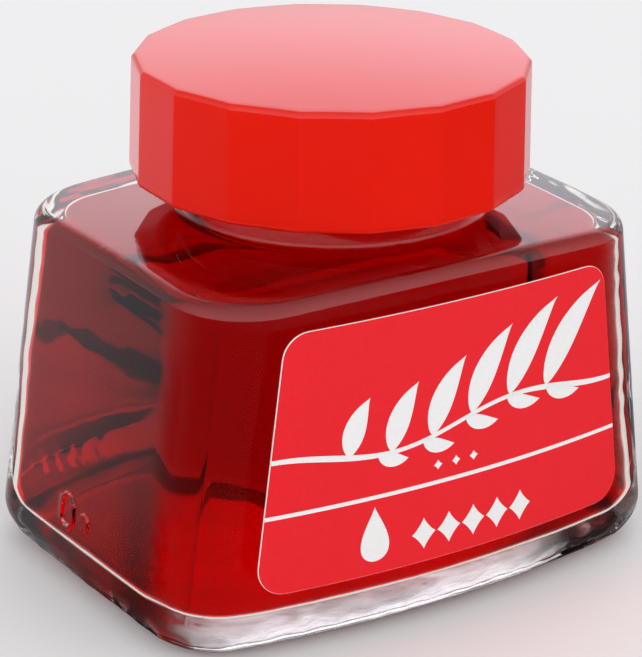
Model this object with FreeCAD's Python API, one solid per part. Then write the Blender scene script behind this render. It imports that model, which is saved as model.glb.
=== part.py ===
# A small screw-capped bottle of fountain-pen ink.
#
# The frame: millimetres, +Z up, the origin under the centre of the base on the surface that the
# bottle stands on.  The label is on the front, which faces -Y, and +X is to the label's right.
#
# The pieces: a thick-walled glass bottle with a threaded neck, the ink in it, a faceted screw
# cap, the sealing disc inside the cap and the label on the front.
import FreeCAD, Part
import math
import os

# ---- driving dimensions -------------------------------------------------------------------

# Outside of the glass body: a tapered block with bowed sides and rounded corners.
shoulder_height = 30.1
base_half_width = 25.45
base_half_depth = 19.45
shoulder_half_width = 21.85
shoulder_half_depth = 17.95
base_corner_radius = 6.85
shoulder_corner_radius = 7.6
base_front_bow = 1.82
shoulder_front_bow = 0.67
side_bow = 0.11
heel_radius = 3.5
shoulder_edge_radius = 1.35
shoulder_crown_height = 30.9
shoulder_crown_radius = 285.0

# Hollow of the glass body.
wall = 2.75
floor_height = 2.85
ceiling_height = 28.5
cavity_floor_radius = 1.5
cavity_ceiling_radius = 1.3
push_up_depth = 0.5
push_up_inset = 5.9

# Neck of the bottle.
neck_radius = 12.8
neck_bore_radius = 10.2
neck_top = 40.0
neck_lip_radius = 0.85
neck_foot_radius = 0.75

# Screw cap: a faceted shell with a low domed top.
facet_count = 18
first_edge_angle = 6.9
cap_bottom = 33.45
cap_rim = 43.3
cap_top = 44.1
cap_rim_radius = 16.6
cap_skirt_radius = 16.84
cap_bore_radius = 14.35
cap_ceiling = 41.5
cap_edge_rounding = 0.45

# The screw thread.  The cap's ridge is the neck's ridge turned by half a turn, so it runs midway
# between the neck's turns.
thread_pitch = 3.0
thread_depth = 1.1
thread_root_width = 1.6
thread_crest_width = 0.55
thread_turns = 1.25
thread_fade_turns = 0.12
thread_start = 34.6
steps_per_turn = 24

# Sealing disc in the cap.
liner_play = 0.05
liner_radius = 13.95
liner_edge_rounding = 0.3

# Ink.
ink_gap = 0.05
ink_level = 32.9

# Front label: a tapered sheet with rounded corners, bent to the glass.
label_top = 27.55
label_bottom = 5.7
label_top_half_width = 15.8
label_bottom_half_width = 18.6
label_corner_radius = 2.3
label_thickness = 0.12
label_gap = 0.02

# Two raised mould marks, an upright ring and a round button, low on the left side.
mark_height = 7.15
mark_relief = 0.3
ring_y = 1.8
ring_half_width = 1.1
ring_half_height = 1.65
ring_band = 0.45
button_y = -0.95
button_radius = 0.75

# ---- values that follow from them -----------------------------------------------------------

UP = FreeCAD.Vector(0, 0, 1)
FRONTWARDS = FreeCAD.Vector(0, -1, 0)
ORIGIN = FreeCAD.Vector(0, 0, 0)
overlap = 0.3


def point(x, y, z):
    return FreeCAD.Vector(x, y, z)


# ---- the bottle's plan shape ------------------------------------------------------------------


def between(at_base, at_shoulder, z):
    """A size of the body at height z, which changes evenly from the base to the shoulder."""
    return at_base + (at_shoulder - at_base) * z / shoulder_height


def core_corner(core_w, core_d, front_radius, side_radius):
    """Where a bowed front arc meets a bowed side arc, found by repeated substitution."""
    x = core_w
    y = core_d
    for _ in range(40):
        y = math.sqrt(front_radius**2 - x**2) - front_radius + core_d
        x = math.sqrt(side_radius**2 - y**2) - side_radius + core_w
    return x, y


def plan_outline(z, inset):
    """The bowed, round-cornered outline at height z, moved inwards by inset."""
    rounding = between(base_corner_radius, shoulder_corner_radius, z)
    core_w = between(base_half_width, shoulder_half_width, z) - rounding
    core_d = between(base_half_depth, shoulder_half_depth, z) - rounding
    front_bow = between(base_front_bow, shoulder_front_bow, z)
    front_radius = (core_w**2 + front_bow**2) / (2 * front_bow)
    side_radius = (core_d**2 + side_bow**2) / (2 * side_bow)
    x, y = core_corner(core_w, core_d, front_radius, side_radius)
    corner = point(x, y, 0)
    round_radius = rounding - inset

    from_front_centre = point(x, y + front_radius - core_d, 0).normalize()
    from_side_centre = point(x + side_radius - core_w, y, 0).normalize()
    halfway = (from_front_centre + from_side_centre).normalize()
    side_end = corner + from_side_centre * round_radius
    corner_middle = corner + halfway * round_radius
    front_end = corner + from_front_centre * round_radius
    side_middle = point(core_w + round_radius, 0, 0)
    front_middle = point(0, core_d + round_radius, 0)

    def placed(p, sx, sy):
        return point(p.x * sx, p.y * sy, z)

    edges = []
    for sx, sy in ((1, 1), (-1, 1), (-1, -1), (1, -1)):
        first, last = (side_end, front_end) if sx * sy > 0 else (front_end, side_end)
        edges.append(Part.Arc(placed(first, sx, sy), placed(corner_middle, sx, sy), placed(last, sx, sy)))
        if sx * sy > 0:
            ends = (placed(front_end, sx, sy), placed(front_middle, sx, sy), placed(front_end, -sx, sy))
        else:
            ends = (placed(side_end, sx, sy), placed(side_middle, sx, sy), placed(side_end, sx, -sy))
        edges.append(Part.Arc(*ends))
    return Part.Wire([edge.toShape() for edge in edges])


def block(z_low, z_high, inset):
    """The tapered block between two heights, its walls moved inwards by inset."""
    return Part.makeLoft([plan_outline(z_low, inset), plan_outline(z_high, inset)], True, True)


def edges_at(shape, z_low, z_high):
    """The edges that lie wholly between two heights."""
    return [e for e in shape.Edges if e.BoundBox.ZMin > z_low and e.BoundBox.ZMax < z_high]


# ---- round pieces and the thread ---------------------------------------------------------------


def turned(points):
    """A solid of revolution about Z from an outline of (radius, height) corners."""
    corners = [point(r, 0, z) for r, z in points]
    face = Part.Face(Part.makePolygon(corners + corners[:1]))
    return face.revolve(ORIGIN, UP, 360)


def drum(radius, z_low, z_high):
    return Part.makeCylinder(radius, z_high - z_low, point(0, 0, z_low), UP)


def thread_ridge(wall_radius, outwards, start_height, start_angle):
    """A right-hand ridge on a round wall.  It fades in and out, so both ends run out smoothly."""
    direction = 1 if outwards else -1
    steps = round(thread_turns * steps_per_turn)
    fade_steps = thread_fade_turns * steps_per_turn
    sections = []
    for step in range(steps + 1):
        share = min(1.0, min(step, steps - step) / fade_steps)
        depth = 0.05 + (thread_depth - 0.05) * math.sin(share * math.pi / 2)
        height = start_height + thread_pitch * step / steps_per_turn
        angle = start_angle + 2 * math.pi * step / steps_per_turn
        flank = (thread_root_width - thread_crest_width) / 2 / thread_depth
        root = thread_root_width / 2 + flank * overlap
        crest = thread_root_width / 2 - flank * depth
        corners = (
            (wall_radius - direction * overlap, -root),
            (wall_radius + direction * depth, -crest),
            (wall_radius + direction * depth, crest),
            (wall_radius - direction * overlap, root),
        )
        loop = [point(r * math.cos(angle), r * math.sin(angle), height + dz) for r, dz in corners]
        sections.append(Part.makePolygon(loop + loop[:1]))
    return Part.makeLoft(sections, True, False)


# ---- the glass bottle ---------------------------------------------------------------------------


def outer_body():
    """The glass block with its crowned shoulder, rounded heel and push-up under the base."""
    crown_centre = point(0, 0, shoulder_crown_height - shoulder_crown_radius)
    crown = Part.makeSphere(shoulder_crown_radius, crown_centre, FRONTWARDS)
    body = block(0, shoulder_crown_height + 1, 0).common(crown)
    body = body.makeFillet(heel_radius, edges_at(body, -0.1, 0.1))
    rim = edges_at(body, shoulder_crown_height - 3, shoulder_crown_height + 1)
    body = body.makeFillet(shoulder_edge_radius, rim)
    push_up = block(-1, push_up_depth, push_up_inset)
    push_up = push_up.makeFillet(push_up_depth * 0.9, edges_at(push_up, push_up_depth - 0.1, push_up_depth + 0.1))
    return body.cut(push_up)


def cavity(inset, top):
    """The hollow for the ink, from the floor to the neck bore and on up to the height top."""
    room = block(floor_height + inset - wall, ceiling_height - inset + wall, inset)
    room = room.makeFillet(cavity_floor_radius, edges_at(room, 0, floor_height + 1))
    room = room.makeFillet(cavity_ceiling_radius, edges_at(room, ceiling_height - 1, ceiling_height + 1))
    bore = drum(neck_bore_radius - inset + wall, ceiling_height - 5, top)
    return room.fuse(bore)


def with_neck(body):
    """The body with its neck: a blended foot, the thread and a rounded lip."""
    shaft = drum(neck_radius, ceiling_height + 1, neck_top)
    shaft = shaft.makeFillet(neck_lip_radius, edges_at(shaft, neck_top - 0.1, neck_top + 0.1))
    joined = body.fuse(shaft)
    foot = [e for e in edges_at(joined, shoulder_height, cap_bottom) if e.BoundBox.XLength < 2.1 * neck_radius]
    joined = joined.makeFillet(neck_foot_radius, foot)
    return joined.fuse(thread_ridge(neck_radius, True, thread_start, 0))


def stadium(y, z, half_width, half_height):
    """An upright round-ended bar that runs from outside the left wall to inside it."""
    x_out = -base_half_width - 5
    lower = z - half_height + half_width
    upper = z + half_height - half_width
    left = [point(x_out, y + half_width, lower), point(x_out, y, lower - half_width)]
    right = [point(x_out, y - half_width, lower), point(x_out, y - half_width, upper)]
    top = [point(x_out, y, upper + half_width), point(x_out, y + half_width, upper)]
    if half_height > half_width:
        edges = [
            Part.Arc(left[0], left[1], right[0]).toShape(),
            Part.LineSegment(right[0], right[1]).toShape(),
            Part.Arc(right[1], top[0], top[1]).toShape(),
            Part.LineSegment(top[1], left[0]).toShape(),
        ]
        face = Part.Face(Part.Wire(edges))
    else:
        face = Part.Face(Part.Wire(Part.makeCircle(half_width, point(x_out, y, z), point(1, 0, 0))))
    return face.extrude(point(15, 0, 0))


def mould_marks():
    """The raised ring and button, which follow the slope of the left wall."""
    ring = stadium(ring_y, mark_height, ring_half_width, ring_half_height)
    ring = ring.cut(stadium(ring_y, mark_height, ring_half_width - ring_band, ring_half_height - ring_band))
    button = stadium(button_y, mark_height, button_radius, button_radius)
    skin = block(2, 14, -mark_relief).cut(block(1, 15, overlap))
    return [ring.common(skin), button.common(skin)]


def glass_bottle():
    """The whole bottle, hollowed out, with the inner edge of its lip rounded."""
    bottle = with_neck(outer_body())
    for mark in mould_marks():
        bottle = bottle.fuse(mark)
    bottle = bottle.cut(cavity(wall, neck_top + 5))
    mouth = [e for e in edges_at(bottle, neck_top - 0.1, neck_top + 0.1) if e.Length < 7 * neck_bore_radius]
    return bottle.makeFillet(neck_lip_radius, mouth)


# ---- ink, cap, sealing disc and label -------------------------------------------------------------


def ink():
    """The ink fills the hollow up into the foot of the neck."""
    return cavity(wall + ink_gap, ink_level)


def faceted_prism(low, low_radius, high, high_radius):
    """A tapered prism with one flat for each facet of the cap."""
    rings = []
    for z, radius in ((low, low_radius), (high, high_radius)):
        angles = [math.radians(first_edge_angle + 360 * k / facet_count) for k in range(facet_count)]
        ring = [point(radius * math.cos(a), radius * math.sin(a), z) for a in angles]
        rings.append(Part.makePolygon(ring + ring[:1]))
    return Part.makeLoft(rings, True, True)


def screw_cap():
    """The cap: facets outside, low dome on top, bore and thread ridge inside."""
    taper = (cap_skirt_radius - cap_rim_radius) / (cap_rim - cap_bottom)
    over = cap_top + 2
    outside = faceted_prism(cap_bottom, cap_skirt_radius, over, cap_rim_radius - taper * (over - cap_rim))
    dome_radius = (cap_rim_radius**2 + (cap_top - cap_rim) ** 2) / (2 * (cap_top - cap_rim))
    outside = outside.common(Part.makeSphere(dome_radius, point(0, 0, cap_top - dome_radius)))
    outside = outside.makeFillet(cap_edge_rounding, outside.Edges)

    bore = drum(cap_bore_radius, cap_bottom - 1, cap_ceiling)
    mouth = turned(
        (
            (0, cap_bottom - 1),
            (cap_bore_radius + 1.5, cap_bottom - 1),
            (cap_bore_radius + 0.5, cap_bottom),
            (cap_bore_radius, cap_bottom + 0.8),
            (0, cap_bottom + 0.8),
        )
    )
    shell = outside.cut(bore.fuse(mouth))
    return shell.fuse(thread_ridge(cap_bore_radius, False, thread_start, math.pi))


def cap_liner():
    disc = drum(liner_radius, neck_top + liner_play, cap_ceiling - liner_play)
    return disc.makeFillet(liner_edge_rounding, edges_at(disc, neck_top, cap_ceiling))


def front_label():
    """The label: a thin skin just off the glass, cut to a tapered round-cornered panel."""
    y = -base_half_depth - 5
    corners = [
        point(-label_bottom_half_width, y, label_bottom),
        point(label_bottom_half_width, y, label_bottom),
        point(label_top_half_width, y, label_top),
        point(-label_top_half_width, y, label_top),
    ]
    panel = Part.Face(Part.makePolygon(corners + corners[:1])).extrude(point(0, 15, 0))
    long_edges = [e for e in panel.Edges if e.BoundBox.YLength > 14]
    panel = panel.makeFillet(label_corner_radius, long_edges)
    low = label_bottom - 1
    high = label_top + 1
    skin = block(low, high, -label_gap - label_thickness).cut(block(low - 1, high + 1, -label_gap))
    return skin.common(panel)


# ---- writing ---------------------------------------------------------------------------------------


def main():
    os.makedirs("parts", exist_ok=True)
    pieces = {
        "glass_bottle": glass_bottle(),
        "ink": ink(),
        "screw_cap": screw_cap(),
        "cap_liner": cap_liner(),
        "front_label": front_label(),
    }
    for name, shape in pieces.items():
        solid = shape.removeSplitter()
        solid.exportStep("parts/" + name + ".step")
        box = solid.optimalBoundingBox(False)
        print(name, solid.isValid(), len(solid.Solids), "solid,", round(solid.Volume / 1000, 2), "ml,", end=" ")
        print("x", round(box.XLength, 2), "y", round(box.YLength, 2), "z", round(box.ZMin, 2), round(box.ZMax, 2))


main()
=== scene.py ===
import math

import bmesh
import bpy
import numpy as np
from mathutils import Matrix, Vector


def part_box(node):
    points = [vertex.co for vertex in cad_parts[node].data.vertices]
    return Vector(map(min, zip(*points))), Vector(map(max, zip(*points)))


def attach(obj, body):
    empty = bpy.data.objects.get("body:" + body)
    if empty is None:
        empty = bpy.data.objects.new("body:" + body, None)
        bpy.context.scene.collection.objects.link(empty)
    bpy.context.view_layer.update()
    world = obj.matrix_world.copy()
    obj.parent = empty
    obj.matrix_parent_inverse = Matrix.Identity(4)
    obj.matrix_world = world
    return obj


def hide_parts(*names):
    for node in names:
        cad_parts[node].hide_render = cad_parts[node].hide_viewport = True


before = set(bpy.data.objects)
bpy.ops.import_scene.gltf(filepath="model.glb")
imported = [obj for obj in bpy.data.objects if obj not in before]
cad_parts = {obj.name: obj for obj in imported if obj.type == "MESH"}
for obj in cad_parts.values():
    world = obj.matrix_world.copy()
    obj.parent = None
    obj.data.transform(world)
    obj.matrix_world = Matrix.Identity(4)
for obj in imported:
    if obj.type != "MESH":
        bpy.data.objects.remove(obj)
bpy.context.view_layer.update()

# A small screw-capped bottle of red fountain-pen ink, in metres and in the frame of the CAD model.
# Every piece is a closed mesh.  All but the print on the label are rings of points joined into a
# skin, and the print is many thin shapes laid on the label.

MM = 0.001
SHARP_ANGLE = math.radians(38)

# ---- sizes ----------------------------------------------------------------------------------

_, glass_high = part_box("glass_bottle")
_, ink_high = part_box("ink")
cap_low, cap_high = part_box("screw_cap")
liner_low, liner_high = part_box("cap_liner")
label_low, label_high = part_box("front_label")

# The glass body, as the CAD part has it.
SHOULDER_HEIGHT = 30.1 * MM
BASE_HALF_WIDTH = 25.45 * MM
BASE_HALF_DEPTH = 19.45 * MM
SHOULDER_HALF_WIDTH = 21.85 * MM
SHOULDER_HALF_DEPTH = 17.95 * MM
BASE_CORNER = 6.85 * MM
SHOULDER_CORNER = 7.6 * MM
BASE_FRONT_BOW = 1.82 * MM
SHOULDER_FRONT_BOW = 0.67 * MM
SIDE_BOW = 0.11 * MM
HEEL_RADIUS = 3.5 * MM
SHOULDER_EDGE = 1.35 * MM
CROWN_TOP = 30.9 * MM
CROWN_RADIUS = 285.0 * MM
WALL = 2.75 * MM
INK_GAP = 0.02 * MM
INK_LEVEL = ink_high.z
FLOOR = 2.85 * MM
CEILING = 28.5 * MM
FLOOR_FILLET = 1.5 * MM
CEILING_FILLET = 1.3 * MM
PUSH_UP = 0.5 * MM
PUSH_UP_INSET = 5.9 * MM

# The neck and the screw thread.
NECK_RADIUS = 12.8 * MM
BORE_RADIUS = 10.2 * MM
NECK_TOP = glass_high.z
LIP_RADIUS = 0.85 * MM
FOOT_RADIUS = 0.75 * MM
THREAD_PITCH = 3.0 * MM
THREAD_DEPTH = 1.1 * MM
THREAD_ROOT = 1.6 * MM
THREAD_CREST = 0.55 * MM
THREAD_TURNS = 1.25
THREAD_FADE = 0.12
THREAD_START = 34.6 * MM

# The cap.
FACETS = 18
FIRST_EDGE = math.radians(6.9)
CAP_RIM = 43.3 * MM
CAP_RIM_RADIUS = 16.6 * MM
CAP_SKIRT_RADIUS = 16.84 * MM
CAP_BORE = 14.35 * MM
CAP_CEILING = 41.5 * MM
CAP_ROUNDING = 0.45 * MM

# The label.
LABEL_TOP = label_high.z
LABEL_BOTTOM = label_low.z
LABEL_BOTTOM_HALF = 18.6 * MM
LABEL_TOP_HALF = 15.8 * MM
LABEL_CORNER = 2.3 * MM
LABEL_GAP = 0.02 * MM
LABEL_THICKNESS = 0.12 * MM
LABEL_BEVEL = 0.03 * MM
LABEL_LEAN = (LABEL_BOTTOM_HALF - LABEL_TOP_HALF) / (LABEL_TOP - LABEL_BOTTOM)

# The material slots of the glass and of the label.
# The third glass slot is painted shade: a near-black grey on the faces under the label.
CLEAR, WETTED, PAINTED_SHADE_UNDER_LABEL, STIPPLED = range(4)
FILM, PAPER = range(2)


# ---- meshes from rings ----------------------------------------------------------------------


def skin(name, rings, start_pole=None, end_pole=None, flip=False, slots=None):
    """A closed mesh from rings of points.  slots gives the material slot of each band of faces."""
    count = len(rings[0])
    points = [tuple(p) for ring in rings for p in ring]
    faces = []
    bands = []
    for band in range(len(rings) - 1):
        a = band * count
        b = a + count
        for k in range(count):
            n = (k + 1) % count
            faces.append((a + k, a + n, b + n, b + k))
            bands.append(band)
    last = (len(rings) - 1) * count
    if start_pole is not None:
        points.append(tuple(start_pole))
        pole = len(points) - 1
        for k in range(count):
            faces.append((pole, (k + 1) % count, k))
            bands.append(0)
    if end_pole is not None:
        points.append(tuple(end_pole))
        pole = len(points) - 1
        for k in range(count):
            faces.append((pole, last + k, last + (k + 1) % count))
            bands.append(len(rings) - 2)
    if flip:
        faces = [tuple(reversed(face)) for face in faces]
    mesh = bpy.data.meshes.new(name)
    mesh.from_pydata(points, [], faces)
    mesh.update()
    if slots is not None:
        for face, band in zip(mesh.polygons, bands):
            face.material_index = slots[band]
    return finished(name, mesh)


def finished(name, mesh):
    """An object of the mesh, smooth except at its hard edges."""
    mesh.shade_smooth()
    mesh.set_sharp_from_angle(angle=SHARP_ANGLE)
    piece = bpy.data.objects.new(name, mesh)
    bpy.context.scene.collection.objects.link(piece)
    return piece


def ring_of(xy, z):
    """A ring of 3-D points from plan points and a height, or a height for each point."""
    heights = np.broadcast_to(np.asarray(z, dtype=float), (len(xy),))
    return np.column_stack([xy, heights])


def mixed_ring(a, b, share):
    """The ring part of the way from one ring to another, or from a point to a ring."""
    return a + (b - a) * share


# ---- the bottle's plan shape ----------------------------------------------------------------

FRONT_SPREAD = np.linspace(0, 1, 55)
CORNER_SPREAD = np.linspace(0, 1, 19)
SEAM_SPREAD = np.sort(np.concatenate([CORNER_SPREAD, [0.486, 0.493, 0.507, 0.514]]))
SIDE_SPREAD = np.linspace(0, 1, 41)
MARK_SPREAD = np.unique(np.concatenate([SIDE_SPREAD, np.linspace(0.37, 0.61, 49)]))


def arc(centre, radius, start, end, spread):
    """Points and outward normals along an arc, without its last point."""
    angles = start + (end - start) * spread[:-1]
    normals = np.column_stack([np.cos(angles), np.sin(angles)])
    return np.asarray(centre) + normals * radius, normals


def outline(z, inset):
    """The bottle's bowed, round-cornered outline at a height, moved inwards: points and normals."""
    share = z / SHOULDER_HEIGHT
    rounding = BASE_CORNER + (SHOULDER_CORNER - BASE_CORNER) * share
    core_w = BASE_HALF_WIDTH + (SHOULDER_HALF_WIDTH - BASE_HALF_WIDTH) * share - rounding
    core_d = BASE_HALF_DEPTH + (SHOULDER_HALF_DEPTH - BASE_HALF_DEPTH) * share - rounding
    bow = BASE_FRONT_BOW + (SHOULDER_FRONT_BOW - BASE_FRONT_BOW) * share
    front_radius = (core_w**2 + bow**2) / (2 * bow)
    side_radius = (core_d**2 + SIDE_BOW**2) / (2 * SIDE_BOW)
    x = core_w
    y = core_d
    for _ in range(40):
        y = math.sqrt(front_radius**2 - x**2) - front_radius + core_d
        x = math.sqrt(side_radius**2 - y**2) - side_radius + core_w
    side_turn = math.atan2(y, x + side_radius - core_w)
    front_turn = math.atan2(y + front_radius - core_d, x)
    round_radius = rounding - inset
    half = math.pi
    side_centre = side_radius - core_w
    front_centre = front_radius - core_d
    front_reach = front_radius + round_radius
    side_reach = side_radius + round_radius
    arcs = [
        arc((-side_centre, 0), side_reach, -side_turn, side_turn, SIDE_SPREAD),
        arc((x, y), round_radius, side_turn, front_turn, SEAM_SPREAD),
        arc((0, -front_centre), front_reach, front_turn, half - front_turn, FRONT_SPREAD),
        arc((-x, y), round_radius, half - front_turn, half - side_turn, CORNER_SPREAD),
        arc((side_centre, 0), side_reach, half - side_turn, half + side_turn, MARK_SPREAD),
        arc((-x, -y), round_radius, half + side_turn, half + front_turn, SEAM_SPREAD),
        arc((0, front_centre), front_reach, half + front_turn, 2 * half - front_turn, FRONT_SPREAD),
        arc((x, -y), round_radius, 2 * half - front_turn, 2 * half - side_turn, CORNER_SPREAD),
    ]
    return np.concatenate([a[0] for a in arcs]), np.concatenate([a[1] for a in arcs])


def wall_lines(inset):
    """The straight wall line of each point of the outline: its foot, rise, normal and tilt."""
    foot, normals = outline(0.0, inset)
    top, _ = outline(SHOULDER_HEIGHT, inset)
    rise = (top - foot) / SHOULDER_HEIGHT
    tilt = np.arctan(-np.sum(rise * normals, axis=1))
    return foot, rise, normals, tilt


def on_wall(lines, z):
    """The wall's points at height z, which may differ from point to point."""
    foot, rise, _, _ = lines
    return foot + rise * np.broadcast_to(np.asarray(z, dtype=float), (len(foot),))[:, None]


def lower_fillet(lines, floor, radius, steps):
    """Rings of the round between a flat floor and the walls, from the floor upwards."""
    _, _, normals, tilt = lines
    start = on_wall(lines, floor)
    centre = -radius * (1 + np.sin(tilt)) / np.cos(tilt)
    rings = []
    for step in range(steps + 1):
        turn = -math.pi / 2 + (math.pi / 2 + tilt) * step / steps
        out = centre + radius * np.cos(turn)
        rings.append(ring_of(start + normals * out[:, None], floor + radius + radius * np.sin(turn)))
    return rings


def upper_fillet(lines, ceiling, radius, steps):
    """Rings of the round between the walls and a flat ceiling, from the walls upwards."""
    _, _, normals, tilt = lines
    start = on_wall(lines, ceiling)
    centre = -radius * (1 - np.sin(tilt)) / np.cos(tilt)
    rings = []
    for step in range(steps + 1):
        turn = tilt + (math.pi / 2 - tilt) * step / steps
        out = centre + radius * np.cos(turn)
        rings.append(ring_of(start + normals * out[:, None], ceiling - radius + radius * np.sin(turn)))
    return rings


def crown_height(xy):
    """The height of the crowned shoulder over plan points."""
    across = np.sum(np.asarray(xy) ** 2, axis=-1)
    return CROWN_TOP - CROWN_RADIUS + np.sqrt(CROWN_RADIUS**2 - across)


def shoulder_fillet(lines, steps):
    """Rings of the round between the walls and the crowned shoulder."""
    _, _, normals, tilt = lines
    edge = np.full(len(normals), SHOULDER_HEIGHT)
    for _ in range(6):
        edge = crown_height(on_wall(lines, edge))
    start = on_wall(lines, edge)
    fall = np.arctan(np.sum(start * normals, axis=1) / CROWN_RADIUS)
    det = np.cos(tilt + fall)
    out_centre = SHOULDER_EDGE * (np.sin(tilt) - np.cos(fall)) / det
    up_centre = SHOULDER_EDGE * (np.sin(fall) - np.cos(tilt)) / det
    rings = []
    for step in range(steps + 1):
        turn = tilt + (math.pi / 2 - fall - tilt) * step / steps
        out = out_centre + SHOULDER_EDGE * np.cos(turn)
        rings.append(ring_of(start + normals * out[:, None], edge + up_centre + SHOULDER_EDGE * np.sin(turn)))
    return rings


def between(first, last, steps):
    """The rings between two rings, without them."""
    return [mixed_ring(first, last, step / steps) for step in range(1, steps)]


# ---- the neck -------------------------------------------------------------------------------


def circle(directions, radius, z):
    """A round ring in the given directions; the radius may differ from point to point."""
    return ring_of(directions * np.asarray(radius, dtype=float).reshape(-1, 1), z)


def thread_relief(angles, z, first_angle):
    """How far the thread ridge stands out at each angle of a ring at height z."""
    relief = np.zeros(len(angles))
    flank = (THREAD_ROOT - THREAD_CREST) / 2
    for turn in range(-1, 3):
        along = (angles - first_angle) / (2 * math.pi) + turn
        inside = np.clip(np.minimum(along, THREAD_TURNS - along) / THREAD_FADE, 0, 1)
        height = THREAD_START + THREAD_PITCH * along
        slope = np.clip((THREAD_ROOT / 2 - np.abs(z - height)) / flank, 0, 1)
        smooth = slope * slope * (3 - 2 * slope)
        relief = np.maximum(relief, THREAD_DEPTH * smooth * np.sin(inside * math.pi / 2))
    return relief


def quarter(steps):
    """Angles of a quarter turn."""
    return [math.pi / 2 * step / steps for step in range(steps + 1)]


def neck_rings(directions):
    """The neck's outside from its foot on the shoulder to the inner edge of its lip."""
    angles = np.arctan2(directions[:, 1], directions[:, 0])
    rings = []
    foot = CROWN_TOP - NECK_RADIUS**2 / (2 * CROWN_RADIUS)
    for turn in quarter(6):
        radius = NECK_RADIUS + FOOT_RADIUS - FOOT_RADIUS * math.sin(turn)
        rings.append(circle(directions, radius, foot + FOOT_RADIUS * (1 - math.cos(turn))))
    thread_low = cap_low.z
    thread_high = NECK_TOP - LIP_RADIUS
    steps = 42
    for step in range(steps + 1):
        z = thread_low + (thread_high - thread_low) * step / steps
        radius = NECK_RADIUS + thread_relief(angles, z, 0.0)
        rings.append(circle(directions, radius, z))
    for turn in quarter(6)[1:]:
        radius = NECK_RADIUS - LIP_RADIUS * (1 - math.cos(turn))
        rings.append(circle(directions, radius, NECK_TOP - LIP_RADIUS * (1 - math.sin(turn))))
    for turn in quarter(6):
        radius = BORE_RADIUS + LIP_RADIUS * (1 - math.sin(turn))
        rings.append(circle(directions, radius, NECK_TOP - LIP_RADIUS * (1 - math.cos(turn))))
    return rings


BROAD_SWELL_MM = 0.07
SLOW_SWELL_MM = 0.06
FINE_SWELL_MM = 0.02


def swell(x, y, z):
    """How far the hollow's skin strays at each point, as moulded glass is uneven in thickness.
    The waves are a formula, with their wave numbers in radians per metre."""
    broad = np.sin(420 * x + 230 * z + 1.1) * np.sin(380 * y - 310 * z + 0.4)
    slow = np.sin(260 * z - 170 * x + 240 * y + 2.0)
    fine = np.sin(1900 * z + 700 * x + 3 * broad) * np.sin(900 * (x - y) + 2 * slow)
    return (BROAD_SWELL_MM * broad + SLOW_SWELL_MM * slow + FINE_SWELL_MM * fine) * MM


def hollow_rings(directions, gap, top):
    """The hollow's skin from the height top in the bore down to its floor, drawn in by gap."""
    lines = wall_lines(WALL + gap)
    outer, normals = outline(0.0, 0.0)
    bore = BORE_RADIUS - gap
    upper = upper_fillet(lines, CEILING - gap, CEILING_FILLET, 8)
    lower = lower_fillet(lines, FLOOR + gap, FLOOR_FILLET, 8)
    bore_rings = [circle(directions, bore, z) for z in np.linspace(top, CEILING - gap, 12)]
    flat = between(bore_rings[-1], upper[-1], 8)
    walls = list(reversed(upper)) + between(upper[0], lower[-1], 56) + list(reversed(lower))
    for ring in walls:
        z = ring[:, 2]
        share = np.clip((z - FLOOR) / FLOOR_FILLET, 0, 1) * np.clip((CEILING - z) / CEILING_FILLET, 0, 1)
        ring[:, :2] += normals * (swell(outer[:, 0], outer[:, 1], z) * share)[:, None]
    floor_centre = np.array([0.0, 0.0, FLOOR + gap])
    floor = [mixed_ring(lower[0], floor_centre, share) for share in np.linspace(0.04, 0.96, 24)]
    for ring in floor:
        edge = np.linalg.norm(ring[:, :2] - lower[0][:, :2], axis=1)
        ring[:, 2] += swell(ring[:, 1] * 1.3, ring[:, 0], 0.01) * np.clip(edge / (4 * MM), 0, 1)
    return bore_rings + flat + walls + floor


# ---- pieces ---------------------------------------------------------------------------------

# The ring is its centre's y and z, half its width and half its height.  The button is its
# centre's y and z and its radius.
RING_MARK = (1.8 * MM, 7.15 * MM, 1.1 * MM, 1.65 * MM)
BUTTON_MARK = (-0.95 * MM, 7.15 * MM, 0.75 * MM)
MARK_BAND = 0.45 * MM
MARK_RELIEF = 0.2 * MM
MARK_MARGIN = 0.3 * MM


def mark_relief(ring):
    """How far the two mould marks stand out at each point of a ring on the left wall."""
    x, y, z = ring.T
    soft = 0.09 * MM
    ring_y, ring_z, half_w, half_h = RING_MARK
    straight = half_h - half_w
    beyond = np.maximum(np.abs(z - ring_z) - straight, 0)
    from_edge = half_w - np.hypot(y - ring_y, beyond)
    band = np.clip(np.minimum(from_edge, MARK_BAND - from_edge) / soft + 0.5, 0, 1)
    button_y, button_z, radius = BUTTON_MARK
    from_button = radius - np.hypot(y - button_y, z - button_z)
    button = np.clip(from_button / soft + 0.5, 0, 1)
    relief = np.maximum(band, button)
    return np.where(x < 0, relief * relief * (3 - 2 * relief), 0) * MARK_RELIEF


SEAM_RELIEF = 0.05 * MM


def seam_relief():
    """The mould's parting line down two opposite corners, as a thin ridge."""
    spreads = (SIDE_SPREAD, SEAM_SPREAD, FRONT_SPREAD, CORNER_SPREAD, MARK_SPREAD)
    side, seam, front, corner, mark = [len(spread) - 1 for spread in spreads]
    relief = np.zeros(2 * (front + corner + seam) + side + mark)
    for start in (side, side + seam + front + corner + mark):
        middle = start + seam // 2
        relief[middle - 1 : middle + 2] = np.array([0.5, 1, 0.5]) * SEAM_RELIEF
    return relief


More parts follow.
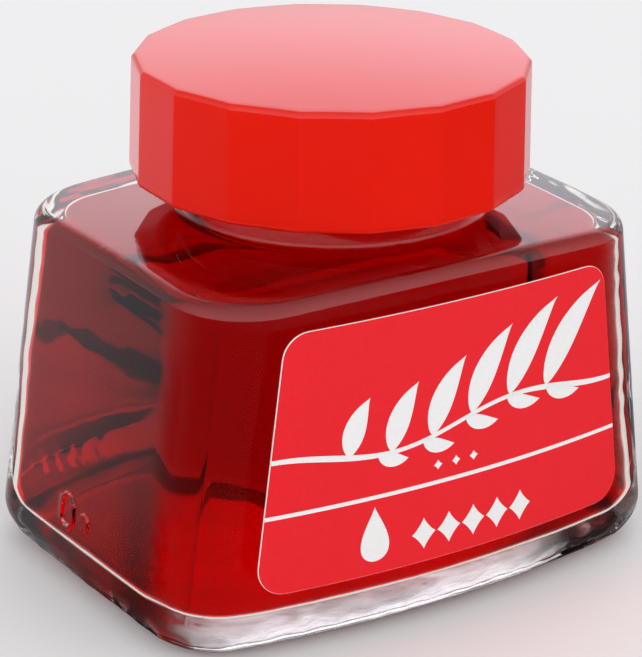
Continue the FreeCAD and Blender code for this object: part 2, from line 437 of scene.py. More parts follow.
def wall_rings(lines, high):
    """Rings up the outer wall, close together where the mould marks are, which stand out of it."""
    _, _, normals, _ = lines
    high_z = high[:, 2]
    marks_low = RING_MARK[1] - RING_MARK[3] - MARK_MARGIN
    marks_high = RING_MARK[1] + RING_MARK[3] + MARK_MARGIN
    seam = seam_relief()
    rings = []
    for z in np.linspace(marks_low, marks_high, 42):
        ring = ring_of(on_wall(lines, z), z)
        ring[:, :2] += normals * (mark_relief(ring) + seam)[:, None]
        rings.append(ring)
    for share in np.linspace(0, 1, 26)[1:-1]:
        z = marks_high + (high_z - marks_high) * share
        ring = ring_of(on_wall(lines, z), z)
        ring[:, :2] += normals * (seam * min(1, (1 - share) * 12))[:, None]
        rings.append(ring)
    return rings


HEEL_DRAW_MM = 0.045
STIPPLED_HEEL_RINGS = 5


def uneven_heel(ring, normals):
    """A ring of the heel drawn in a little, here more and there less, as glass shrinks in a mould."""
    x, y, z = ring.T
    turn = np.arctan2(y, x)
    ripple = np.sin(31 * turn + 5 * np.sin(3 * turn) + 900 * z) + 0.7 * np.sin(57 * turn - 1500 * z + 2.0)
    share = np.sin(np.clip(z / HEEL_RADIUS, 0, 1) * math.pi)
    ring = ring.copy()
    ring[:, :2] -= normals * ((1.7 + ripple) * share * HEEL_DRAW_MM * MM)[:, None]
    return ring


def make_glass():
    """The bottle: base, heel, walls, shoulder and neck, then down the hollow to its floor."""
    lines = wall_lines(0.0)
    push = wall_lines(PUSH_UP_INSET)
    _, normals = outline(0.0, 0.0)
    heel = lower_fillet(lines, 0.0, HEEL_RADIUS, 12)
    shoulder = shoulder_fillet(lines, 10)
    ceiling = ring_of(on_wall(push, 0.0) - normals * PUSH_UP * 0.9, PUSH_UP)
    edge = ring_of(on_wall(push, 0.0) - normals * PUSH_UP * 0.25, PUSH_UP * 0.72)
    rim = ring_of(on_wall(push, 0.0), 0.0)
    centre = np.array([0.0, 0.0, PUSH_UP])
    rings = [mixed_ring(centre, ceiling, share) for share in (0.1, 0.3, 0.5, 0.7, 0.9, 1)]
    rings += [edge, rim]
    stippled = len(rings) + STIPPLED_HEEL_RINGS
    rings += [uneven_heel(ring, normals) for ring in heel]
    rings += wall_rings(lines, shoulder[0])
    rings += shoulder
    plan = shoulder[-1][:, :2]
    directions = plan / np.linalg.norm(plan, axis=1)[:, None]
    neck = neck_rings(directions)
    for share in (0.1, 0.25, 0.4, 0.55, 0.7, 0.85, 0.95):
        ring = mixed_ring(shoulder[-1], neck[0], share)
        ring[:, 2] = crown_height(ring[:, :2])
        rings.append(ring)
    rings += neck
    hollow = hollow_rings(directions, 0.0, NECK_TOP - LIP_RADIUS)
    dry = [ring for ring in hollow if ring[:, 2].max() > INK_LEVEL]
    wet = hollow[len(dry):]
    level = circle(directions, BORE_RADIUS, INK_LEVEL)
    rings += dry[1:]
    first_wet = len(rings)
    rings += [level] + wet
    slots = [STIPPLED] * stippled + [CLEAR] * (first_wet - stippled)
    slots += [WETTED] * (len(rings) - first_wet)
    glass = skin("glass_bottle_skin", rings, centre, rings[-1].mean(axis=0), slots=slots)
    paint_shade_under_label(glass)
    return glass, directions


def paint_shade_under_label(glass):
    """Gives the front faces that the label sticks to a near-black grey: painted shade standing for the
    label's glued side, seen from inside the glass.
    """
    margin = 0.45 * MM
    for face in glass.data.polygons:
        x, y, z = face.center
        beside = abs(x) - label_half(z) + LABEL_CORNER
        beyond = abs(z - (LABEL_TOP + LABEL_BOTTOM) / 2) - (LABEL_TOP - LABEL_BOTTOM) / 2 + LABEL_CORNER
        inside = math.hypot(max(beside, 0), max(beyond, 0)) < LABEL_CORNER - margin
        if inside and y < 0 and face.normal.y < -0.8:
            face.material_index = PAINTED_SHADE_UNDER_LABEL


MENISCUS = 0.35 * MM


def make_ink(directions):
    """The ink, with the slight upward curve of its surface where it meets the bore."""
    rings = hollow_rings(directions, INK_GAP, INK_LEVEL)
    surface = []
    for share in (0.2, 0.5, 0.75, 0.9, 0.97):
        climb = MENISCUS * (math.exp((share - 1) * 9) - 1)
        surface.append(circle(directions, (BORE_RADIUS - INK_GAP) * share, INK_LEVEL + climb))
    middle = (0.0, 0.0, INK_LEVEL - MENISCUS)
    return skin("ink_body", surface + rings, middle, rings[-1].mean(axis=0), flip=True)


CAP_CHAMFER = 0.5 * MM
CAP_CHAMFER_HEIGHT = 0.8 * MM
CAP_THREAD_FOOT = 0.82 * MM
CAP_CEILING_ROUND = 0.4 * MM


def towards(turn):
    """The unit vector at an angle in the plan."""
    return np.array([math.cos(turn), math.sin(turn)])


def facet_outline(radius, inset):
    """The cap's rounded polygon at a vertex radius, moved inwards."""
    half = math.pi / FACETS
    apothem = radius * math.cos(half)
    rounding = max(CAP_ROUNDING - inset, 0.02 * MM)
    centre_radius = (apothem - inset - rounding) / math.cos(half)
    points = []
    for k in range(FACETS):
        vertex = FIRST_EDGE + 2 * half * k
        centre = towards(vertex) * centre_radius
        for step in range(5):
            turn = vertex - half + 2 * half * step / 4
            points.append(centre + towards(turn) * rounding)
        outward = towards(vertex + half) * rounding
        start = centre + outward
        end = towards(vertex + 2 * half) * centre_radius + outward
        for step in range(1, 8):
            points.append(start + (end - start) * step / 8)
    return np.array(points)


def cap_outside(bottom, top):
    """Rings up the cap's facets and over its dome."""
    dome_radius = (CAP_RIM_RADIUS**2 + (top - CAP_RIM) ** 2) / (2 * (top - CAP_RIM))
    taper = (CAP_SKIRT_RADIUS - CAP_RIM_RADIUS) / (CAP_RIM - bottom)

    def dome(xy):
        across = np.sum(np.asarray(xy) ** 2, axis=-1)
        return top - dome_radius + np.sqrt(dome_radius**2 - across)

    def facets_at(z, inset):
        return facet_outline(CAP_SKIRT_RADIUS - taper * (z - bottom), inset)

    outer = []
    for turn in quarter(5):
        inset = CAP_ROUNDING * (1 - math.sin(turn))
        z = bottom + CAP_ROUNDING * (1 - math.cos(turn))
        outer.append(ring_of(facets_at(z, inset), z))
    for z in np.linspace(bottom + CAP_ROUNDING, CAP_RIM - CAP_ROUNDING, 14)[1:-1]:
        outer.append(ring_of(facets_at(z, 0.0), z))
    for turn in quarter(6):
        inset = CAP_ROUNDING * (1 - math.cos(turn))
        plan = facets_at(CAP_RIM, inset)
        outer.append(ring_of(plan, dome(plan) - CAP_ROUNDING * (1 - math.sin(turn))))
    rim = outer[-1]
    for share in (0.97, 0.92, 0.84, 0.74, 0.62, 0.5, 0.38, 0.26, 0.14, 0.06):
        plan = rim[:, :2] * share
        outer.append(ring_of(plan, dome(plan)))
    return outer


def cap_inside(directions, bottom):
    """Rings from the cap's chamfered mouth over its thread to its ceiling."""
    angles = np.arctan2(directions[:, 1], directions[:, 0])
    inner = [
        circle(directions, CAP_BORE + CAP_CHAMFER, bottom),
        circle(directions, CAP_BORE, bottom + CAP_CHAMFER_HEIGHT),
    ]
    thread_high = THREAD_START + THREAD_PITCH * THREAD_TURNS + THREAD_ROOT
    for z in np.linspace(bottom + CAP_THREAD_FOOT, thread_high, 60):
        inner.append(circle(directions, CAP_BORE - thread_relief(angles, z, math.pi), z))
    inner.append(circle(directions, CAP_BORE, CAP_CEILING - CAP_CEILING_ROUND))
    for turn in quarter(4)[1:]:
        radius = CAP_BORE - CAP_CEILING_ROUND * (1 - math.cos(turn))
        z = CAP_CEILING - CAP_CEILING_ROUND * (1 - math.sin(turn))
        inner.append(circle(directions, radius, z))
    inner += [circle(directions, CAP_BORE * share, CAP_CEILING) for share in (0.7, 0.4, 0.1)]
    return inner


def make_cap():
    """The cap: from the middle of its ceiling down to its mouth, then up the facets to its top."""
    bottom = cap_low.z
    top = cap_high.z
    outer = cap_outside(bottom, top)
    outward = outer[0][:, :2]
    directions = outward / np.linalg.norm(outward, axis=1)[:, None]
    rings = list(reversed(cap_inside(directions, bottom))) + outer
    return skin("screw_cap_shell", rings, (0.0, 0.0, CAP_CEILING), (0.0, 0.0, top))


def make_liner():
    """The sealing disc, with the shallow ring that the lip has pressed into its underside."""
    angles = np.linspace(0, 2 * math.pi, 129)[:-1]
    directions = np.column_stack([np.cos(angles), np.sin(angles)])
    low = liner_low.z
    high = liner_high.z
    radius = liner_high.x
    edge = 0.3 * MM
    lip = (NECK_RADIUS + BORE_RADIUS) / 2
    dent_depth = 0.1 * MM
    dent_spread = 0.7 * MM
    rings = []
    for r in np.linspace(0.5 * MM, radius - edge, 44):
        dent = dent_depth * math.exp(-(((r - lip) / dent_spread) ** 2))
        rings.append(circle(directions, r, low + dent))
    for turn in quarter(4)[1:]:
        r = radius - edge * (1 - math.sin(turn))
        rings.append(circle(directions, r, low + edge * (1 - math.cos(turn))))
    for turn in quarter(4):
        r = radius - edge * (1 - math.cos(turn))
        rings.append(circle(directions, r, high - edge * (1 - math.sin(turn))))
    rings += [circle(directions, r, high) for r in (radius * 0.7, radius * 0.4, radius * 0.1)]
    return skin("cap_liner_disc", rings, (0.0, 0.0, low), (0.0, 0.0, high))


# ---- label and its print --------------------------------------------------------------------

FRONT_LINES = wall_lines(0.0)


def front_surface(x, z):
    """How far forward the glass front is at each point (x, z) of the label."""
    foot, rise, normals, _ = FRONT_LINES
    facing = normals[:, 1] < -0.2
    found = np.empty(len(x))
    for k, (px, pz) in enumerate(zip(x, z)):
        points = foot[facing] + rise[facing] * pz
        found[k] = np.interp(px, points[:, 0], points[:, 1])
    return found


def on_front(points, standoff):
    """Label-plane points (x, z) laid on the glass front, that far off it."""
    points = np.asarray(points, dtype=float)
    y = front_surface(points[:, 0], points[:, 1]) - standoff
    return np.column_stack([points[:, 0], y, points[:, 1]])


def label_half(z):
    """Half the label's width at a height."""
    return LABEL_BOTTOM_HALF - LABEL_LEAN * (z - LABEL_BOTTOM)


def label_outline(inset):
    """The label's tapered, round-cornered edge, moved inwards, counter-clockwise."""
    slant = math.atan(LABEL_LEAN)
    radius = LABEL_CORNER
    reach = radius - inset
    turns = {
        (1, 1): (slant, math.pi / 2),
        (-1, 1): (math.pi / 2, math.pi - slant),
        (-1, -1): (math.pi - slant, 1.5 * math.pi),
        (1, -1): (-math.pi / 2, slant),
    }
    points = []
    for (sign_x, sign_z), (first, last) in turns.items():
        z_edge = LABEL_TOP if sign_z > 0 else LABEL_BOTTOM
        z_centre = z_edge - sign_z * radius
        x_centre = sign_x * (label_half(z_centre) - radius / math.cos(slant))
        for turn in np.linspace(first, last, 11):
            points.append((x_centre + reach * math.cos(turn), z_centre + reach * math.sin(turn)))
    return np.array(points)


def spaced(points, count):
    """A closed line's points, spaced evenly along it."""
    closed = np.vstack([points, points[:1]])
    steps = np.linalg.norm(np.diff(closed, axis=0), axis=1)
    along = np.concatenate([[0], np.cumsum(steps)])
    at = np.linspace(0, along[-1], count + 1)[:-1]
    return np.column_stack([np.interp(at, along, closed[:, i]) for i in range(2)])


def make_label():
    """The label's sheet: its back from the middle out, its bevelled edge, and its front back in."""
    edge = spaced(label_outline(0.0), 240)
    bevel = spaced(label_outline(LABEL_BEVEL), 240)
    middle = edge.mean(axis=0)
    front = LABEL_GAP + LABEL_THICKNESS
    outwards = np.linspace(0.04, 1, 22)
    inwards = np.linspace(0.995, 0.04, 24)
    rings = [on_front(middle + (edge - middle) * share, LABEL_GAP) for share in outwards]
    rings.append(on_front(edge, front - LABEL_BEVEL))
    rings.append(on_front(bevel, front))
    rings += [on_front(middle + (bevel - middle) * share, front) for share in inwards]
    back_pole = on_front([middle], LABEL_GAP)[0]
    front_pole = on_front([middle], front)[0]
    slots = [PAPER if band <= len(outwards) else FILM for band in range(len(rings) - 1)]
    return skin("front_label_sheet", rings, back_pole, front_pole, slots=slots)


PRINT_LOW = LABEL_GAP + LABEL_THICKNESS + 0.001 * MM
PRINT_HIGH = PRINT_LOW + 0.012 * MM
EDGE_CLEARANCE = 0.05 * MM

RULE_HEIGHT = 12.4 * MM
RULE_HALF_WIDTH = 0.17 * MM
RULE_POINTS = 80
STEM_HEIGHT = 17.1 * MM
STEM_SWING = 1.5 * MM
UPPER_LEAVES = 6
LOWER_LEAVES = 5
SMALL_LOZENGES = 3
LOZENGES = 5


def ribbon(left, right):
    """Points and faces of a printed stroke between two edges, as a closed thin solid."""
    count = len(left)
    points = []
    for edge in (left, right):
        for standoff in (PRINT_LOW, PRINT_HIGH):
            points += [tuple(p) for p in on_front(edge, standoff)]
    faces = []
    a, b, c, d = (0, count, 2 * count, 3 * count)
    for k in range(count - 1):
        faces.append((b + k, b + k + 1, d + k + 1, d + k))
        faces.append((a + k, c + k, c + k + 1, a + k + 1))
        faces.append((a + k, a + k + 1, b + k + 1, b + k))
        faces.append((c + k, d + k, d + k + 1, c + k + 1))
    faces.append((a, b, d, c))
    end = count - 1
    faces.append((a + end, c + end, d + end, b + end))
    return points, faces


def patch(edge):
    """Points and faces of a small printed shape, as a closed thin solid."""
    count = len(edge)
    low = [tuple(p) for p in on_front(edge, PRINT_LOW)]
    high = [tuple(p) for p in on_front(edge, PRINT_HIGH)]
    middle = edge.mean(axis=0)
    poles = [tuple(on_front([middle], PRINT_LOW)[0]), tuple(on_front([middle], PRINT_HIGH)[0])]
    faces = []
    for k in range(count):
        n = (k + 1) % count
        faces.append((k, n, count + n, count + k))
        faces.append((n, k, 2 * count))
        faces.append((count + k, count + n, 2 * count + 1))
    return low + high + poles, faces


def pen_stroke(path, hairline, swell_width):
    """A pen stroke along a path: it is broad where the pen comes down and thin where it goes up."""
    along = np.gradient(path, axis=0)
    along /= np.linalg.norm(along, axis=1)[:, None]
    down = np.clip(-along[:, 1] + 0.12, 0, 1)
    width = hairline + (swell_width - hairline) * down * down * (3 - 2 * down)
    across = np.column_stack([-along[:, 1], along[:, 0]]) * (width / 2)[:, None]
    return ribbon(path + across, path - across)


def stem(share):
    """The sprig's stem: a hairline that dips, climbs and levels out from one edge to the other."""
    reach = label_half(STEM_HEIGHT) - EDGE_CLEARANCE
    rise = STEM_SWING * np.sin(2 * math.pi * share) * np.sin(math.pi * share)
    return np.column_stack([(2 * share - 1) * reach, STEM_HEIGHT - rise])


def leaf(root, angle, length, width, bend):
    """A pen-drawn leaf: pointed at both ends, broad below its middle and bent to one side."""
    t = np.linspace(0, 1, 40)
    turn = angle + bend * (t - 0.3)
    steps = np.column_stack([np.cos(turn), np.sin(turn)]) * length / len(t)
    middle = root + np.cumsum(steps, axis=0)
    across = np.column_stack([-np.sin(turn), np.cos(turn)])
    half = (0.12 * MM + width / 2 * np.sin(math.pi * t**0.75)) * (1 - t**12)
    return ribbon(middle + across * half[:, None], middle - across * half[:, None])


def lozenge(x, z, half_width, half_height):
    """The four-sided dot that a broad nib makes, with slightly hollow sides."""
    hollow = 0.85
    turns = np.linspace(0, 2 * math.pi, 33)[:-1]
    reach = 1 / (np.abs(np.cos(turns)) ** hollow + np.abs(np.sin(turns)) ** hollow) ** (1 / hollow)
    return np.column_stack([x + half_width * reach * np.cos(turns), z + half_height * reach * np.sin(turns)])


def drop(x, z, size):
    """A drop of ink with its point upwards."""
    turns = np.linspace(0, 2 * math.pi, 49)[:-1]
    return np.column_stack(
        [
            x + size * np.sin(turns) * np.sin(turns / 2) ** 1.5,
            z + size * 1.25 * np.cos(turns),
        ]
    )


def rule():
    """The thin rule across the label under the sprig."""
    reach = label_half(RULE_HEIGHT) - EDGE_CLEARANCE
    across = np.linspace(-reach, reach, RULE_POINTS)
    lower = np.column_stack([across, np.full(RULE_POINTS, RULE_HEIGHT - RULE_HALF_WIDTH)])
    upper = np.column_stack([across, np.full(RULE_POINTS, RULE_HEIGHT + RULE_HALF_WIDTH)])
    return ribbon(upper, lower)


def sprig():
    """The stem of a sprig, with longer leaves above it and shorter ones below."""
    parts = [pen_stroke(stem(np.linspace(0, 1, 240)), 0.36 * MM, 1.1 * MM)]
    for k in range(UPPER_LEAVES):
        root = stem(np.array([0.2 + 0.115 * k]))[0]
        length = (5.2 + 1.0 * k) * MM
        width = (1.75 + 0.1 * k) * MM
        parts.append(leaf(root, math.radians(74 - 3 * k), length, width, -0.55))
    for k in range(LOWER_LEAVES):
        root = stem(np.array([0.28 + 0.125 * k]))[0]
        parts.append(leaf(root, math.radians(-24), (3.0 + 0.25 * k) * MM, 1.0 * MM, 0.75))
    return parts


def ornaments():
    """Three small lozenges over the rule, and a drop and a row of lozenges under it."""
    parts = []
    for k in range(SMALL_LOZENGES):
        parts.append(patch(lozenge((-1.8 + 1.8 * k) * MM, 13.9 * MM, 0.42 * MM, 0.42 * MM)))
    parts.append(patch(drop(-7.9 * MM, 9.2 * MM, 1.9 * MM)))
    for k in range(LOZENGES):
        parts.append(patch(lozenge((-3.2 + 2.5 * k) * MM, 8.2 * MM, 1.15 * MM, 1.35 * MM)))
    return parts


def make_print():
    """The white print: a rule, a sprig of leaves over it and rows of small ornaments."""
    points = []
    faces = []
    for part_points, part_faces in [rule()] + sprig() + ornaments():
        start = len(points)
        points.extend(part_points)
        faces.extend(tuple(i + start for i in face) for face in part_faces)
    mesh = bpy.data.meshes.new("label_print")
    mesh.from_pydata(points, [], faces)
    shapes = bmesh.new()
    shapes.from_mesh(mesh)
    bmesh.ops.recalc_face_normals(shapes, faces=shapes.faces)
    shapes.to_mesh(mesh)
    shapes.free()
    mesh.update()
    piece = bpy.data.objects.new("label_print", mesh)
    bpy.context.scene.collection.objects.link(piece)
    return piece


# ---- materials ------------------------------------------------------------------------------


def new_material(name):
    """An empty node material, with its nodes, its links and its output."""
    material = bpy.data.materials.new(name)
    material.use_nodes = True
    nodes = material.node_tree.nodes
    nodes.clear()
    output = nodes.new("ShaderNodeOutputMaterial")
    return material, nodes, material.node_tree.links, output


def noise(nodes, links, scale, detail=3.0, rough=0.5):
    """Noise in the piece's own space, with its scale in cycles per metre."""
    coordinates = nodes.new("ShaderNodeTexCoord")
    texture = nodes.new("ShaderNodeTexNoise")
    texture.inputs["Scale"].default_value = scale
    texture.inputs["Detail"].default_value = detail
    texture.inputs["Roughness"].default_value = rough
    links.new(coordinates.outputs["Object"], texture.inputs["Vector"])
    return texture.outputs["Fac"]


def ramp(nodes, links, source, low, high, start, end, curve="LINEAR"):
    """The source from start to end, mapped to the range from low to high."""
    node = nodes.new("ShaderNodeMapRange")
    node.interpolation_type = curve
    node.inputs["From Min"].default_value = start
    node.inputs["From Max"].default_value = end
    node.inputs["To Min"].default_value = low
    node.inputs["To Max"].default_value = high
    links.new(source, node.inputs["Value"])
    return node.outputs["Result"]


def arithmetic(nodes, links, operation, first, second):
    """A source and a number, or two sources, put through an operation."""
    node = nodes.new("ShaderNodeMath")
    node.operation = operation
    links.new(first, node.inputs[0])
    if isinstance(second, bpy.types.NodeSocket):
        links.new(second, node.inputs[1])
    else:
        node.inputs[1].default_value = second
    return node.outputs[0]


def facing(nodes, links, source, azimuth, elevation):
    """How much a unit direction points to an azimuth and an elevation in degrees."""
    node = nodes.new("ShaderNodeVectorMath")
    node.operation = "DOT_PRODUCT"
    level = math.cos(math.radians(elevation))
    node.inputs[1].default_value = (
        level * math.cos(math.radians(azimuth)),
        level * math.sin(math.radians(azimuth)),
        math.sin(math.radians(elevation)),
    )
    links.new(source, node.inputs[0])
    return node.outputs["Value"]


def bump(nodes, links, height, distance, strength):
    """The normals of a surface that has the source as its relief."""
    node = nodes.new("ShaderNodeBump")
    node.inputs["Strength"].default_value = strength
    node.inputs["Distance"].default_value = distance
    links.new(height, node.inputs["Height"])
    return node.outputs["Normal"]


def colour_mix(nodes, links, share, first, second):
    """The first colour where the share is 0, the second where it is 1."""
    node = nodes.new("ShaderNodeMix")
    node.data_type = "RGBA"
    node.inputs["A"].default_value = (*first, 1)
    node.inputs["B"].default_value = (*second, 1)
    links.new(share, node.inputs["Factor"])
    return node.outputs["Result"]


def blend(nodes, links, share, first, second):
    """The first shader where the share is 0, the second where it is 1."""
    node = nodes.new("ShaderNodeMixShader")
    links.new(share, node.inputs["Fac"])
    links.new(first.outputs[0], node.inputs[1])
    links.new(second.outputs[0], node.inputs[2])
    return node


WHITE = (1, 1, 1)
GLASS_TINT = (0.985, 0.992, 0.99)
GLASS_IOR = 1.5
INK_IOR = 1.333
INK_TINT = (0.99, 0.1, 0.15)
INK_DENSITY = 3400.0
INK_TOP_BAND = 0.4 * MM


def glass_shader(nodes, tint, ior, roughness=0.0):
    """A shader that both mirrors and bends light."""
    shader = nodes.new("ShaderNodeBsdfGlass")
    shader.inputs["Color"].default_value = (*tint, 1)
    shader.inputs["IOR"].default_value = ior
    shader.inputs["Roughness"].default_value = roughness
    return shader


def glass_material():
    """Clear smooth glass.  The unevenness of the moulding is in the mesh."""
    material, nodes, links, output = new_material("moulded_glass")
    shader = glass_shader(nodes, GLASS_TINT, GLASS_IOR)
    links.new(shader.outputs[0], output.inputs["Surface"])
    return material


def wetted_glass_material():
    """The glass's inner face where ink wets it: the ink's own skin does the bending there."""
    material, nodes, links, output = new_material("wetted_glass")
    shader = nodes.new("ShaderNodeBsdfTransparent")
    links.new(shader.outputs[0], output.inputs["Surface"])
    return material


def stippled_material():
    """The fine stipple under the bottle's base and round the foot of its heel."""
    material, nodes, links, output = new_material("stippled_glass")
    shader = glass_shader(nodes, GLASS_TINT, GLASS_IOR, 0.22)
    pits = noise(nodes, links, 520, 3.0, 0.55)
    links.new(bump(nodes, links, pits, 0.10 * MM, 0.6), shader.inputs["Normal"])
    links.new(shader.outputs[0], output.inputs["Surface"])
    return material


def ink_material():
    """Deep red ink.  Its skin bends light as glass to ink does, and its top as air to ink does."""
    material, nodes, links, output = new_material("fountain_ink")
    wet = glass_shader(nodes, WHITE, INK_IOR / GLASS_IOR)
    top = glass_shader(nodes, WHITE, INK_IOR)
    place = nodes.new("ShaderNodeTexCoord")
    height = nodes.new("ShaderNodeSeparateXYZ")
    links.new(place.outputs["Object"], height.inputs[0])
    cut = INK_LEVEL - INK_TOP_BAND
    above = arithmetic(nodes, links, "GREATER_THAN", height.outputs["Z"], cut)
    surface = blend(nodes, links, above, wet, top)
    links.new(surface.outputs[0], output.inputs["Surface"])
    absorb = nodes.new("ShaderNodeVolumeAbsorption")
    absorb.inputs["Color"].default_value = (*INK_TINT, 1)
    absorb.inputs["Density"].default_value = INK_DENSITY
    links.new(absorb.outputs[0], output.inputs["Volume"])
    return material


def mottled(name, grain, first, second):
    """An opaque material that wanders between two colours, with its nodes, links, shader and noise.
    The grain is the noise's scale, its detail and its roughness."""
    material, nodes, links, output = new_material(name)
    shader = nodes.new("ShaderNodeBsdfPrincipled")
    tone = noise(nodes, links, *grain)
    links.new(colour_mix(nodes, links, tone, first, second), shader.inputs["Base Color"])
    links.new(shader.outputs[0], output.inputs["Surface"])
    return material, nodes, links, shader, tone


def plain_mottled(name, grain, first, second, roughness):
    """A mottled material with one roughness all over."""
    material, _, _, shader, _ = mottled(name, grain, first, second)
    shader.inputs["Roughness"].default_value = roughness
    return material


def painted_shade_behind_label_material():
    """The glued side of the label behind the glass, in a near-black grey that is painted shade; the label's
    own back is white.
    """
    return plain_mottled("label_rear_painted_shade", (1800,), (0.07, 0.07, 0.09), (0.13, 0.13, 0.15), 0.8)


def paper_material():
    """The label's white edge and its back."""
    return plain_mottled("label_white", (3000,), (0.78, 0.76, 0.75), (0.88, 0.87, 0.86), 0.6)


def print_material():
    """White printing ink with the fine grey speckle of its screen."""
    grain = (5000, 3.0, 0.7)
    return plain_mottled("print_white", grain, (0.74, 0.74, 0.74), (0.9, 0.89, 0.89), 0.45)


def plastic_material():
    """Glossy orange-red moulded plastic with a very slight orange peel."""
    tones = ((0.70, 0.008, 0.002), (0.76, 0.011, 0.003))
    material, nodes, links, shader, _ = mottled("moulded_plastic", (90, 2.0), *tones)
    grain = noise(nodes, links, 2600, 2.0)
    links.new(ramp(nodes, links, grain, 0.1, 0.16, 0.3, 0.7), shader.inputs["Roughness"])
    shader.inputs["IOR"].default_value = 1.42
    peel = noise(nodes, links, 700, 1.0)
    links.new(bump(nodes, links, peel, 0.003 * MM, 0.4), shader.inputs["Normal"])
    return material


def liner_material():
    """Pale foam with fine cells."""
    tones = ((0.74, 0.73, 0.70), (0.86, 0.85, 0.82))
    material, nodes, links, shader, cells = mottled("sealing_foam", (5200,), *tones)
    shader.inputs["Roughness"].default_value = 0.7
    links.new(bump(nodes, links, cells, 0.02 * MM, 0.6), shader.inputs["Normal"])
    return material


def label_material():
    """Satin red printed film with the slight mottle of its ink."""
    tones = ((0.74, 0.006, 0.014), (0.84, 0.014, 0.024))
    material, nodes, links, shader, mottle = mottled("label_red", (2400, 4.0, 0.7), *tones)
    links.new(ramp(nodes, links, mottle, 0.38, 0.5, 0.3, 0.7), shader.inputs["Roughness"])
    shader.inputs["IOR"].default_value = 1.32
    fibre = noise(nodes, links, 1500)
    links.new(bump(nodes, links, fibre, 0.004 * MM, 0.35), shader.inputs["Normal"])
    return material


# ---- studio ---------------------------------------------------------------------------------


def floor_material():
    """A pale matte floor.  A ray off something shiny sees instead a painted reflection: an emission that is
    bright behind the bottle and dark in front of it.  A ray that has come through glass or ink sees an
    even painted glow, an emission with the bottle's shadow painted out."""
    material, nodes, links, output = new_material("pale_floor_painted_light")
    matte = nodes.new("ShaderNodeBsdfDiffuse")
    matte.inputs["Color"].default_value = (0.88, 0.88, 0.885, 1)
    # Painted reflection: shiny rays see an emission that is bright behind the bottle and dark in front of it.
    painted_reflection = nodes.new("ShaderNodeEmission")
    coordinates = nodes.new("ShaderNodeTexCoord")
    direction = nodes.new("ShaderNodeVectorMath")
    direction.operation = "NORMALIZE"
    links.new(coordinates.outputs["Object"], direction.inputs[0])
    backward = facing(nodes, links, direction.outputs["Vector"], 75, 0)
    share = ramp(nodes, links, backward, 0.0, 1.0, -0.4, 1.0)
    steep = arithmetic(nodes, links, "POWER", share, 1.6)
    tone = colour_mix(nodes, links, steep, (0.012, 0.012, 0.012), (0.95, 0.88, 0.93))
    links.new(tone, painted_reflection.inputs["Color"])
    path = nodes.new("ShaderNodeLightPath")
    surface = blend(nodes, links, path.outputs["Is Glossy Ray"], matte, painted_reflection)
    # Painted glow: rays through glass or ink see an even emission, so the bottle's shadow is painted out.
    glow = nodes.new("ShaderNodeEmission")
    glow.inputs["Color"].default_value = (0.88, 0.82, 0.78, 1)
    surface = blend(nodes, links, path.outputs["Is Transmission Ray"], surface, glow)
    links.new(surface.outputs[0], output.inputs["Surface"])
    return material


def make_floor():
    """A square floor, a hair below the bottle's base."""
    half = 3.0
    z = -0.03 * MM
    corners = [(-half, -half, z), (half, -half, z), (half, half, z), (-half, half, z)]
    mesh = bpy.data.meshes.new("floor")
    mesh.from_pydata(corners, [], [(0, 1, 2, 3)])
    floor = bpy.data.objects.new("floor", mesh)
    bpy.context.scene.collection.objects.link(floor)
    mesh.materials.append(floor_material())


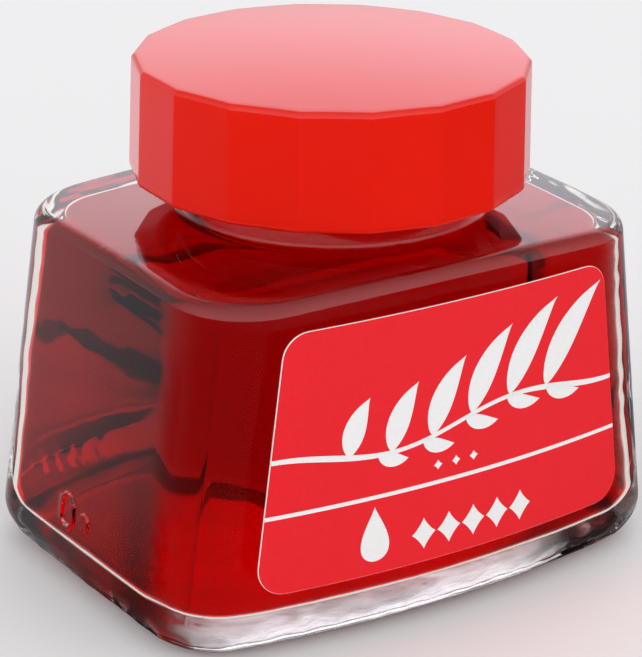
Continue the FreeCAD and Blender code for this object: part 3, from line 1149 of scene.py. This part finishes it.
def make_world():
    """Soft studio light: a pale room, dimmer overhead and brighter in front, with a bright sweep of
    faint lilac behind the bottle."""
    world = bpy.data.worlds.new("studio")
    bpy.context.scene.world = world
    world.use_nodes = True
    nodes = world.node_tree.nodes
    links = world.node_tree.links
    nodes.clear()
    output = nodes.new("ShaderNodeOutputWorld")
    shader = nodes.new("ShaderNodeBackground")
    links.new(shader.outputs[0], output.inputs["Surface"])
    coordinates = nodes.new("ShaderNodeTexCoord")

    def glow(azimuth, elevation, low, high, start, end):
        aim = facing(nodes, links, coordinates.outputs["Generated"], azimuth, elevation)
        return ramp(nodes, links, aim, low, high, start, end, "SMOOTHSTEP")

    sweep = glow(50, 32, 0.0, 1.0, 0.80, 1.0)
    strength = arithmetic(nodes, links, "MULTIPLY", sweep, 1.15)
    front = glow(-120, 20, 0.0, 0.75, -0.2, 0.7)
    overhead = glow(0, 90, 0.75, 0.35, 0.2, 0.95)
    strength = arithmetic(nodes, links, "ADD", strength, front)
    strength = arithmetic(nodes, links, "ADD", strength, overhead)
    links.new(strength, shader.inputs["Strength"])
    links.new(colour_mix(nodes, links, sweep, WHITE, (1.0, 0.92, 1.0)), shader.inputs["Color"])


def make_camera():
    """The camera stands in front of the bottle's left corner and looks down on it."""
    camera_data = bpy.data.cameras.new("camera")
    camera = bpy.data.objects.new("camera", camera_data)
    bpy.context.scene.collection.objects.link(camera)
    camera_data.sensor_fit = "AUTO"
    camera_data.sensor_width = 36.0
    camera_data.lens = 151.4
    camera_data.clip_start = 0.01
    across = Vector((0.82763, -0.56100, 0.01764)).normalized()
    back = Vector((-0.52671, -0.76542, 0.36974)).normalized()
    up = back.cross(across).normalized()
    across = up.cross(back)
    turn = Matrix((across, up, back)).transposed()
    camera.matrix_world = Matrix.Translation((-125.43 * MM, -181.43 * MM, 106.74 * MM)) @ turn.to_4x4()
    bpy.context.scene.camera = camera


# ---- putting it together --------------------------------------------------------------------

make_camera()
make_world()
make_floor()
bpy.context.scene.view_settings.view_transform = "Standard"

glass, around = make_glass()
glass.data.materials.append(glass_material())
glass.data.materials.append(wetted_glass_material())
# Painted shade: the near-black grey on the glass faces under the label.
glass.data.materials.append(painted_shade_behind_label_material())
glass.data.materials.append(stippled_material())
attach(glass, "bottle")
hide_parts("glass_bottle")

ink = make_ink(around)
ink.data.materials.append(ink_material())
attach(ink, "bottle")
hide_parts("ink")

cap = make_cap()
cap.data.materials.append(plastic_material())
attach(cap, "cap")
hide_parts("screw_cap")

liner = make_liner()
liner.data.materials.append(liner_material())
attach(liner, "cap_lift")
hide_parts("cap_liner")

label = make_label()
label.data.materials.append(label_material())
label.data.materials.append(paper_material())
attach(label, "bottle")
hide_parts("front_label")

printing = make_print()
printing.data.materials.append(print_material())
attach(printing, "bottle")
